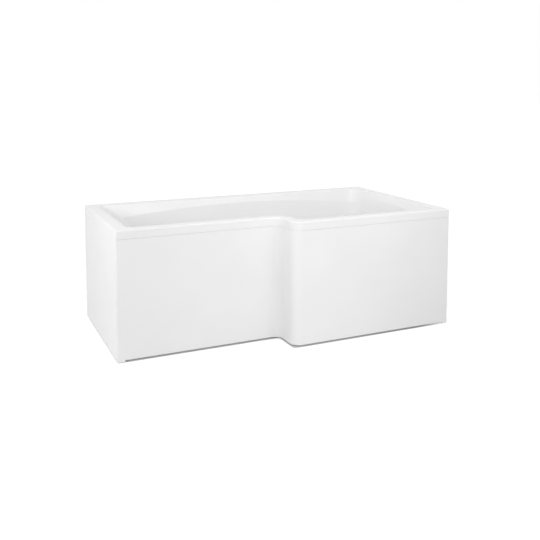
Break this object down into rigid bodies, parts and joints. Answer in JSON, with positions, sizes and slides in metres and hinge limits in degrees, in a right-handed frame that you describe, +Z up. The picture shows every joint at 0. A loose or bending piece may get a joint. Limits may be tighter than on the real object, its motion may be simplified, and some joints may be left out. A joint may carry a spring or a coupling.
{
  "type": "shower bath",
  "caption": "L-shaped shower bath: a moulded white tub with a wider shower end, a stepped front panel, an end panel, adjustable feet, a push waste, an overflow and a trap.",
  "frame": {"origin": "on the floor, at the middle of the bath's whole length and of its width at the shower end", "axes": "+X along the bath to the shower end, +Y to the wall behind, +Z up; the front panel faces -Y"},
  "size_m": [1.6, 0.85, 0.57],
  "materials": {
    "acrylic": "gloss white acrylic sheet, backed with laminate on the tub",
    "timber": "planed softwood",
    "chipboard": "raw chipboard",
    "zinc": "bright zinc plated steel",
    "chrome": "polished chrome",
    "white_plastic": "moulded white polypropylene",
    "rubber": "black rubber",
    "grey_plastic": "moulded grey nylon"
  },
  "bodies": {
    "bath": {"bath_shell": "acrylic", "base_board": "chipboard", "bath_side_rim_batten": "timber", "shower_side_rim_batten": "timber", "end_panel_rim_batten": "timber", "back_rim_batten": "timber", "end_wall_rim_batten": "timber", "bath_end_bearer": "zinc", "shower_end_bearer": "zinc", "centre_foot_bracket": "zinc", "bearer_screws": "zinc", "foot_nuts": "zinc", "wall_brackets": "zinc", "wall_bracket_screws": "zinc", "front_panel": "acrylic", "end_panel": "acrylic", "front_floor_batten": "timber", "shower_floor_batten": "timber", "end_floor_batten": "timber", "panel_clips": "white_plastic", "panel_clip_screws": "zinc", "waste_flange": "chrome", "waste_seal": "rubber", "waste_body_seal": "rubber", "waste_body": "white_plastic", "plug_cartridge": "chrome", "overflow_face": "chrome", "overflow_screw": "chrome", "overflow_seal": "rubber", "overflow_elbow": "white_plastic", "overflow_hose": "white_plastic", "hose_nuts": "white_plastic", "trap_nut": "white_plastic", "trap_seal": "rubber", "trap_body": "white_plastic", "outlet_nut": "white_plastic", "outlet_seal": "rubber"},
    "plug": {"plug": "chrome", "plug_seal": "rubber"},
    "bath_front_foot": {"bath_front_stud": "zinc", "bath_front_pad": "grey_plastic"},
    "bath_back_foot": {"bath_back_stud": "zinc", "bath_back_pad": "grey_plastic"},
    "centre_foot": {"centre_stud": "zinc", "centre_pad": "grey_plastic"},
    "shower_front_foot": {"shower_front_stud": "zinc", "shower_front_pad": "grey_plastic"},
    "shower_back_foot": {"shower_back_stud": "zinc", "shower_back_pad": "grey_plastic"}
  },
  "joints": [
    {"name": "plug_lift", "type": "slide", "parent": "bath", "child": "plug", "axis": [0, 0, 1], "range_m": [0, 0.01]},
    {"name": "bath_front_foot_height", "type": "slide", "parent": "bath", "child": "bath_front_foot", "axis": [0, 0, 1], "range_m": [-0.012, 0.012]},
    {"name": "bath_back_foot_height", "type": "slide", "parent": "bath", "child": "bath_back_foot", "axis": [0, 0, 1], "range_m": [-0.012, 0.012]},
    {"name": "centre_foot_height", "type": "slide", "parent": "bath", "child": "centre_foot", "axis": [0, 0, 1], "range_m": [-0.012, 0.012]},
    {"name": "shower_front_foot_height", "type": "slide", "parent": "bath", "child": "shower_front_foot", "axis": [0, 0, 1], "range_m": [-0.012, 0.012]},
    {"name": "shower_back_foot_height", "type": "slide", "parent": "bath", "child": "shower_back_foot", "axis": [0, 0, 1], "range_m": [-0.012, 0.012]}
  ]
}
